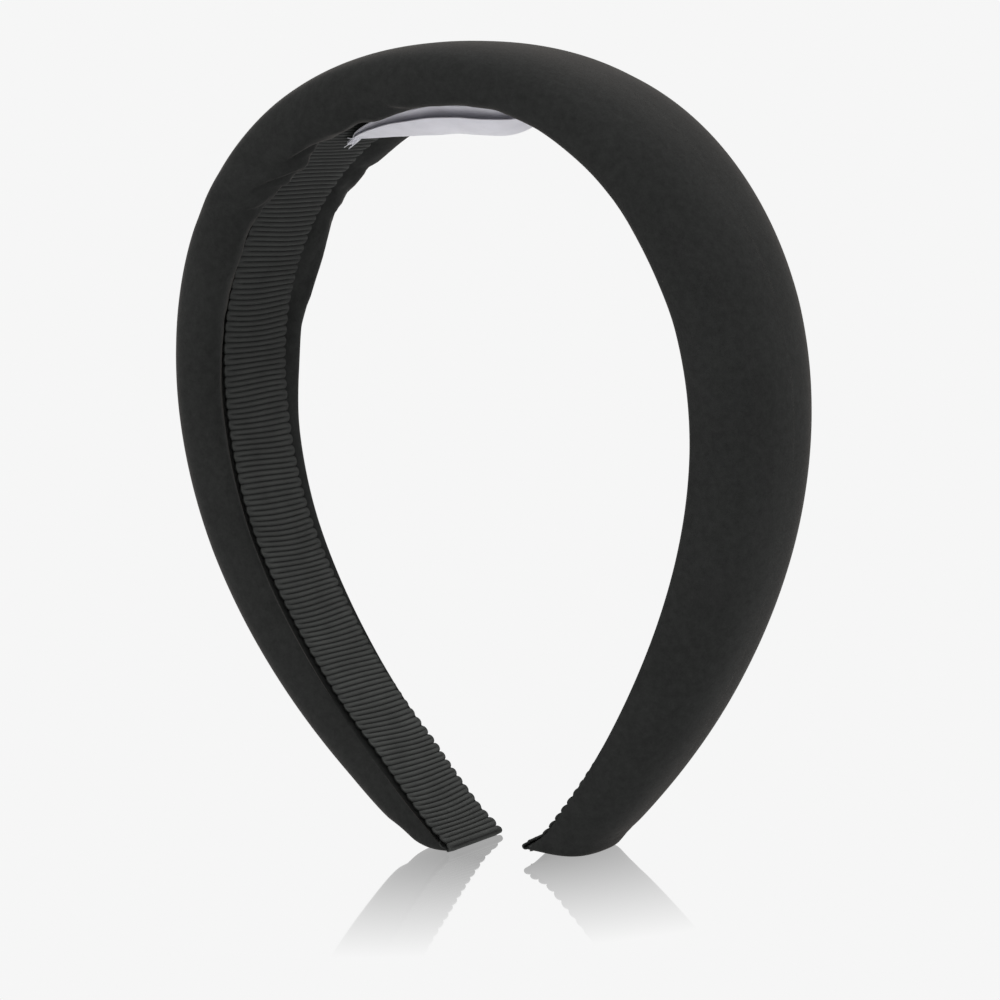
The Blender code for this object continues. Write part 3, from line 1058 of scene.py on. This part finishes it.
class HEADBAND_OT_glue(bpy.types.Operator):
    """The tape that holds the foam, and the set glue under the cover's margins and the ribbon"""

    bl_idname = "headband.glue"
    bl_label = "Tape and glue"

    def execute(self, context):
        spine = Spine(sizes())
        material = grained("set_glue", colours().glue, 0.30, 500.0, 0.4, 0.2 * MM, Transmission_Weight=0.25)
        end = spine.run_at_height(GLUE_TIP_HEIGHT)
        layers = (
            ("foam_tape", -GLUE_OUTER, GLUE_OUTER, 3.8 * MM, 4.0 * MM, tape_width),
            ("front_margin_glue", -GLUE_OUTER, -GLUE_INNER, 1.8 * MM, 2.0 * MM, margin_width),
            ("rear_margin_glue", GLUE_INNER, GLUE_OUTER, 1.8 * MM, 2.0 * MM, margin_width),
            ("ribbon_glue", -4.2 * MM, 4.2 * MM, 0.9 * MM, 2.0 * MM, same_width),
        )
        for name, low_y, high_y, low_n, high_n, width_at in layers:
            for side in SIDES:
                strip = flat_strip(
                    f"{name}_{side}", end, low_y, high_y, low_n, high_n, GLUE_CUTS, GLUE_ROUNDING
                )
                finish_strip(strip, side, spine, material, width_at)
                fit_to_frame(strip, name, side)
        return {"FINISHED"}


# ---------------------------------------------------------------- the ribbon

CELL_STEPS = 12
ACROSS_STEPS = 14
RIBBON_WALL = 0.42 * MM
FOLD_RADIUS = 0.36 * MM
FOLD_BACK = 2.6 * MM
FOLD_HEIGHT = 0.85 * MM
FOLD_MIDDLE_N = -0.35 * MM
TIP_SINK = 0.55 * MM
RIBBON_CLEAR = 0.05 * MM
# Waves that the ribs' lines make: size and reach in mm, and slant. The ribs bow too, back at the edges, in mm.
RIB_WAVES = ((0.20, 9, 1.7), (0.13, 3.7, -2.3))
RIB_BOW = 0.3
EDGE_WANDER = 0.15 * MM
WANDER_STARTS = {"left": 0.4, "right": 2.1}
# How far the ribbon lies off the middle, in mm, at shares of the way from the crown to a tip.
RIBBON_DRIFT_AT = (0.0, 0.12, 0.25, 0.38, 0.52, 0.66, 0.76, 0.87, 1.0)
RIBBON_DRIFT = {
    "left": (0.0, -0.5, -1.1, -0.6, 0.1, 0.7, 1.3, 1.5, -0.4),
    "right": (0.0, -0.2, -0.4, -0.2, 0.1, 0.4, -0.3, -0.6, -0.5),
}


def rib_height(phase):
    """Height of the ribs, 0 to 1, at a phase of 0 to 2 through a cell of two ribs."""
    return abs(math.sin(math.pi * phase)) ** 0.80


def ribbon_cell(s, pitch):
    """Two ribs and the loop that joins them at each edge, modelled flat."""
    deselect()
    half = s.ribbon_width / 2 - s.loop_reach
    bpy.ops.mesh.primitive_grid_add(x_subdivisions=CELL_STEPS, y_subdivisions=ACROSS_STEPS, size=1.0)
    cell = bpy.context.object
    cell.name = "ribbon_cell"
    bpy.ops.transform.resize(value=(2 * pitch, 2 * half, 1.0))
    bpy.ops.object.transform_apply(location=True, rotation=True, scale=True)
    bpy.ops.object.mode_set(mode="EDIT")
    bpy.ops.mesh.select_mode(type="VERT")
    for step in range(CELL_STEPS + 1):
        at = (step / CELL_STEPS - 0.5) * 2 * pitch
        phase = 2 * step / CELL_STEPS
        rise = rib_height(phase)
        loop = math.sin(math.pi * phase / 2) ** 0.55 if 0 < phase < 2 else 0.0
        select_vertices(cell, lambda co: abs(co.x - at) < 1e-6)
        bpy.ops.transform.translate(value=(0.0, 0.0, -s.rib_height * rise))
        for sign in (-1, 1):
            select_vertices(cell, lambda co: abs(co.x - at) < 1e-6 and abs(co.y - sign * half) < 1e-6)
            lift = s.rib_height * (rise - 0.75 * loop)
            bpy.ops.transform.translate(value=(0.0, sign * s.loop_reach * loop, lift))
    bpy.ops.object.mode_set(mode="OBJECT")
    return cell



def select_vertices(piece, wanted):
    mesh = bmesh.from_edit_mesh(piece.data)
    for element in (*mesh.faces, *mesh.edges, *mesh.verts):
        element.select = False
    for vertex in mesh.verts:
        vertex.select = wanted(vertex.co)
    bmesh.update_edit_mesh(piece.data)


def folded_end(run, n, fold_at, middle_n):
    """Turns the last of the ribbon back under itself."""
    past = np.maximum(run - fold_at, 0.0)
    turn = np.minimum(past / FOLD_RADIUS, math.pi)
    radius = FOLD_RADIUS - (n - middle_n)
    back = np.maximum(past - math.pi * FOLD_RADIUS, 0.0)
    centre = middle_n + FOLD_RADIUS
    new_run = np.where(past > 0, fold_at + radius * np.sin(turn) - back, run)
    new_n = np.where(past > 0, centre - radius * np.cos(turn), n)
    return new_run, new_n


class HEADBAND_OT_ribbon(bpy.types.Operator):
    """The ribbed lining, woven as one cell of two ribs that repeats from the crown to each folded end"""

    bl_idname = "headband.ribbon"
    bl_label = "Ribbon"

    def execute(self, context):
        s = sizes()
        spine = Spine(s)
        material = ribbon_weave()
        fold_at = spine.run_at_height(FOLD_HEIGHT)
        flat_length = fold_at + math.pi * FOLD_RADIUS + FOLD_BACK
        cells = int(round(flat_length / (2 * s.rib_pitch)))
        pitch = flat_length / cells / 2
        cell = ribbon_cell(s, pitch)
        for side in SIDES:
            strip = cell.copy()
            strip.data = cell.data.copy()
            strip.name = f"ribbon_{side}"
            context.collection.objects.link(strip)
            repeat = strip.modifiers.new("Repeat", "ARRAY")
            repeat.count = cells
            repeat.use_merge_vertices = True
            repeat.merge_threshold = 0.01 * MM
            add_wall(strip, RIBBON_WALL, 1.0)
            apply_all(strip)
            self.lay(strip, side, s, spine, fold_at)
            finish(strip, material)
            fit_to_frame(strip, "ribbon", side)
        bpy.data.objects.remove(cell)
        return {"FINISHED"}

    def lay(self, strip, side, s, spine, fold_at):
        """Lays a flat strip of cells down one arm: uneven in its weave, and folded back at the tip."""
        points = coordinates(strip)
        points[:, 0] -= points[:, 0].min()
        run, y, n = points.T
        # How high each point stands on its rib, used to paint the crests lighter and the grooves between them as
        # shade.
        lit_crest = np.clip(-n / s.rib_height, 0.0, 1.0)
        attribute = strip.data.attributes.new("rib", "FLOAT", "POINT")
        attribute.data.foreach_set("value", lit_crest.astype(np.float32))
        fabric_map(strip, run, y)
        u = np.minimum(run / spine.length, 1.0)
        across = y / (s.ribbon_width / 2)
        y = across * ribbon_half_width(s, u)
        wave = sum(size * np.sin(run / (reach * MM) + slant * across) for size, reach, slant in RIB_WAVES)
        free = smooth_step(run / (5 * MM)) * smooth_step((fold_at - run) / (3 * MM))
        run = run + (wave - RIB_BOW * across**2) * MM * free
        y = y + np.interp(u, RIBBON_DRIFT_AT, RIBBON_DRIFT[side]) * MM
        wander = np.sin(run / (7 * MM) + WANDER_STARTS[side])
        y = y + EDGE_WANDER * wander * smooth_step(run / (10 * MM))
        n = n + RIBBON_CLEAR + s.rib_height * 0.2
        n = n - TIP_SINK * smooth_step((run - fold_at + 7 * MM) / (6 * MM))
        run, n = folded_end(run, n, fold_at, FOLD_MIDDLE_N)
        set_coordinates(strip, spine.wrap(SIDES[side] * run, y, n))
        strip.data.shade_smooth()
        turn_outward(strip)
        sharpen(strip, 65)


# ---------------------------------------------------------------- the label

LABEL_ROWS = 61
LABEL_COLUMNS = 25
LABEL_WALL = 0.18 * MM
LABEL_TAIL = 2.2 * MM
LABEL_CENTRE = -1.5 * MM
LABEL_SHIFT = 0.8 * MM
LABEL_N = -0.9 * MM
LABEL_FULLNESS = (2.6, 4.5)
LABEL_RIGHT_DROP = 0.80
ARCHES = 5
TAILS = 5


def label_layer(name, s, spine, material, front_drop, sag, width_share, seed):
    """One layer of the label: gathered at its two ends, and hanging away from the ribbon between them."""
    rng = np.random.default_rng(seed)
    l = np.linspace(-1.0, 1.0, LABEL_ROWS)[:, None]
    w = np.linspace(-1.0, 1.0, LABEL_COLUMNS)[None, :]
    run = np.repeat(l * (s.label_length / 2 + LABEL_TAIL), LABEL_COLUMNS, axis=1)
    fullness = np.where(run < 0, *LABEL_FULLNESS)
    open_share = (1 - (np.abs(run) / (s.label_length / 2)) ** fullness).clip(0.0)
    tail = smooth_step((np.abs(run) - s.label_length / 2) / LABEL_TAIL)
    run = run + LABEL_CENTRE
    half = s.label_width / 2 * width_share * (0.12 + 0.88 * open_share**0.6 + 0.04 * tail)
    y = w * half - LABEL_SHIFT
    belly = np.sin(math.pi * (0.08 + 0.80 * (w + 1) / 2))
    right_drop = 1 + LABEL_RIGHT_DROP * (1 + l) / 2
    n = LABEL_N - (front_drop * open_share**0.7 + sag * open_share * belly) * right_drop
    ripple = sum(
        rng.uniform(0.02, 0.06) * np.sin(k * 1.9 * l * math.pi + rng.uniform(0, 6.28) + rng.uniform(-2, 2) * w)
        for k in (1, 2, 3)
    )
    gather = 0.30 * np.cos(w * math.pi * 3.0) * (1 - open_share) ** 2
    n = n + (ripple * open_share + gather) * MM - 0.3 * MM * tail
    grid = spine.wrap(run, y, n)
    piece = add_piece(name, grid, quads(LABEL_ROWS, LABEL_COLUMNS), material)
    fabric_map(piece, run.ravel(), y.ravel())
    add_wall(piece, LABEL_WALL, 0.0)
    apply_all(piece)
    sharpen(piece, 60)
    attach(piece, "crown")
    return piece


def thread_piece(name, strands, material):
    """Strands of thread, each a thin tube with round ends, as one mesh."""
    curve = bpy.data.curves.new(name, "CURVE")
    curve.dimensions = "3D"
    curve.use_fill_caps = True
    curve.bevel_resolution = 2
    curve.bevel_depth = 0.5
    curve.resolution_u = 6
    for points, thickness in strands:
        spline = curve.splines.new("NURBS")
        spline.points.add(len(points) - 1)
        spline.order_u = 3
        spline.use_endpoint_u = True
        for target, point in zip(spline.points, points):
            target.co = (*point, 1.0)
            target.radius = thickness
    made = bpy.data.objects.new(name, curve)
    bpy.context.collection.objects.link(made)
    only(made)
    bpy.ops.object.convert(target="MESH")
    piece = bpy.context.object
    piece.data.shade_smooth()
    finish(piece, material)
    return piece


class HEADBAND_OT_label(bpy.types.Operator):
    """The folded label under the crown, with the stitches that hold its gathered ends"""

    bl_idname = "headband.label"
    bl_label = "Label"

    def execute(self, context):
        s = sizes()
        spine = Spine(s)
        white = label_satin("label_satin", 1.0)
        # Painted shade: the upper layer, which lies in shade under the crown, gets a copy of the satin darkened
        # to 0.92.
        shaded = label_satin("label_satin_shaded", 0.92)
        thread = grained("sewing_thread", colours().thread, 0.55, 3000.0, 0.4, 0.05 * MM)
        rng = np.random.default_rng(11)
        for side, sign in SIDES.items():
            strands = []
            middle = LABEL_CENTRE + sign * s.label_length / 2
            for k in range(ARCHES):
                y = (k - 2) * 0.55 * MM - LABEL_SHIFT + rng.uniform(-0.15, 0.15) * MM
                lean = rng.uniform(-0.5, 0.5) * MM
                arch = [
                    (middle - sign * 1.0 * MM + lean, y, -0.35 * MM),
                    (middle + lean * 0.5, y + 0.15 * MM, -1.75 * MM),
                    (middle + sign * 1.6 * MM, y + 0.3 * MM, -0.25 * MM),
                ]
                strands.append((arch, 0.26 * MM))
            for _ in range(TAILS):
                y = rng.uniform(-1.8, 0.6) * MM
                length = rng.uniform(1.8, 4.4) * MM
                drop = rng.uniform(-1.2, 0.4) * MM
                tail = [
                    (middle - sign * 0.5 * MM, y, -1.2 * MM),
                    (middle + sign * 0.5 * length, y + rng.uniform(-0.8, 0.4) * MM, -1.5 * MM + 0.3 * drop),
                    (middle + sign * length, y + rng.uniform(-1.6, 0.6) * MM, -1.5 * MM + 0.5 * drop),
                ]
                strands.append((tail, 0.16 * MM))
            placed = []
            for points, thickness in strands:
                bench = np.array(points)
                placed.append((spine.wrap(bench[:, 0], bench[:, 1], bench[:, 2]).tolist(), thickness))
            piece = thread_piece(f"label_tack_{side}_threads", placed, thread)
            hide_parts(f"label_tack_{side}")
            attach(piece, "crown")
        upper = label_layer("label_upper", s, spine, shaded, 0.3 * MM, 2.6 * MM, 1.0, 3)
        lower = label_layer("label_lower", s, spine, white, 1.8 * MM, s.label_sag, 0.98, 5)
        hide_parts("label_upper_layer")
        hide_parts("label_lower_layer")
        return {"FINISHED"}


# ---------------------------------------------------------------- the stage

CAMERA_TURN = math.radians(35.13)
CAMERA_PITCH = math.radians(-4.89)
CAMERA_ROLL = math.radians(-4.53)
CAMERA_DISTANCE = 0.6045
CAMERA_HEIGHT = 0.1237
CAMERA_LENS = 106.66
CAMERA_SHIFT = 0.0139
FLOOR_GLOSS = 0.62
GLOSS_FADES = (0.012, 0.092)


def floor_material():
    """A pale glossy surface, lit evenly, whose gloss fades away from what stands on it."""
    material = bpy.data.materials.new("pale_floor")
    material.use_nodes = True
    tree = material.node_tree
    tree.nodes.clear()
    level = colours().backdrop
    plain = node(tree, "ShaderNodeEmission", Color=(level, level, level, 1.0))
    gloss = node(tree, "ShaderNodeBsdfGlossy", Roughness=0.03, Color=(1.0, 1.0, 1.0, 1.0))
    distance = node(tree, "ShaderNodeVectorMath", Vector=object_place(tree))
    distance.operation = "LENGTH"
    share = mapped_range(tree, distance.outputs["Value"], *GLOSS_FADES, FLOOR_GLOSS, 0.0)
    mix = node(tree, "ShaderNodeMixShader", Fac=share)
    plug(tree, plain.outputs["Emission"], mix.inputs[1])
    plug(tree, gloss.outputs["BSDF"], mix.inputs[2])
    node(tree, "ShaderNodeOutputMaterial", Surface=mix.outputs["Shader"])
    return material


def area_light(name, place, target, size, energy):
    light = bpy.data.lights.new(name, "AREA")
    light.shape = "RECTANGLE"
    light.size, light.size_y = size
    light.energy = energy
    lamp = bpy.data.objects.new(name, light)
    bpy.context.collection.objects.link(lamp)
    back = Vector(place) - Vector(target)
    lamp.matrix_world = Matrix.Translation(place) @ back.to_track_quat("Z", "Y").to_matrix().to_4x4()
    return lamp


class HEADBAND_OT_stage(bpy.types.Operator):
    """The floor, the soft light and the camera"""

    bl_idname = "headband.stage"
    bl_label = "Stage"

    def execute(self, context):
        deselect()
        bpy.ops.mesh.primitive_circle_add(vertices=96, radius=4.0, fill_type="NGON", location=(0.0, 0.0, 0.0))
        floor = context.object
        floor.name = "stage_floor"
        floor.data.materials.append(floor_material())
        level = colours().backdrop
        world = bpy.data.worlds.new("soft_room")
        world.use_nodes = True
        world.node_tree.nodes["Background"].inputs["Color"].default_value = (level, level, level, 1.0)
        context.scene.world = world
        context.scene.view_settings.view_transform = "Standard"
        area_light("key_light", (0.5, -0.9, 0.9), (0.0, 0.0, 0.09), (0.7, 0.7), 1.4)
        area_light("top_light", (-0.2, 0.1, 1.1), (0.0, 0.0, 0.12), (0.8, 0.8), 1.0)
        forward = np.array(
            [
                -math.sin(CAMERA_TURN) * math.cos(CAMERA_PITCH),
                math.cos(CAMERA_TURN) * math.cos(CAMERA_PITCH),
                math.sin(CAMERA_PITCH),
            ]
        )
        right = np.array([math.cos(CAMERA_TURN), math.sin(CAMERA_TURN), 0.0])
        up = np.cross(right, forward)
        c, r = math.cos(CAMERA_ROLL), math.sin(CAMERA_ROLL)
        right, up = c * right + r * up, -r * right + c * up
        camera_data = bpy.data.cameras.new("camera")
        camera_data.lens = CAMERA_LENS
        camera_data.sensor_width = 36.0
        camera_data.shift_x = CAMERA_SHIFT
        camera_data.clip_start = 0.01
        camera = bpy.data.objects.new("camera", camera_data)
        context.collection.objects.link(camera)
        axes = np.stack([right, up, -forward], 1)
        matrix = Matrix([list(row) + [0.0] for row in axes.tolist()] + [[0.0, 0.0, 0.0, 1.0]])
        place = (
            CAMERA_DISTANCE * math.sin(CAMERA_TURN),
            -CAMERA_DISTANCE * math.cos(CAMERA_TURN),
            CAMERA_HEIGHT,
        )
        camera.matrix_world = Matrix.Translation(place) @ matrix
        context.scene.camera = camera
        return {"FINISHED"}


# ---------------------------------------------------------------- panel and registration


class HEADBAND_PT_panel(bpy.types.Panel):
    """Lists the headband's pieces in the order they are made"""

    bl_idname = "HEADBAND_PT_panel"
    bl_label = "Padded headband"
    bl_space_type = "VIEW_3D"
    bl_region_type = "UI"
    bl_category = "Headband"

    def draw(self, context):
        for operator in OPERATORS:
            self.layout.operator(operator.bl_idname)
        for group in (context.scene.headband_sizes, context.scene.headband_colours):
            for name in group.__annotations__:
                self.layout.prop(group, name)


OPERATORS = (
    HEADBAND_OT_stage,
    HEADBAND_OT_core,
    HEADBAND_OT_glue,
    HEADBAND_OT_foam,
    HEADBAND_OT_cover,
    HEADBAND_OT_ribbon,
    HEADBAND_OT_label,
)
CLASSES = (HeadbandSizes, HeadbandColours, *OPERATORS, HEADBAND_PT_panel)


def register():
    for made in CLASSES:
        bpy.utils.register_class(made)
    bpy.types.Scene.headband_sizes = PointerProperty(type=HeadbandSizes)
    bpy.types.Scene.headband_colours = PointerProperty(type=HeadbandColours)


def unregister():
    del bpy.types.Scene.headband_sizes
    del bpy.types.Scene.headband_colours
    for made in reversed(CLASSES):
        bpy.utils.unregister_class(made)


def main():
    register()
    for operator in OPERATORS:
        group, name = operator.bl_idname.split(".")
        getattr(getattr(bpy.ops, group), name)()


if __name__ == "__main__":
    main()
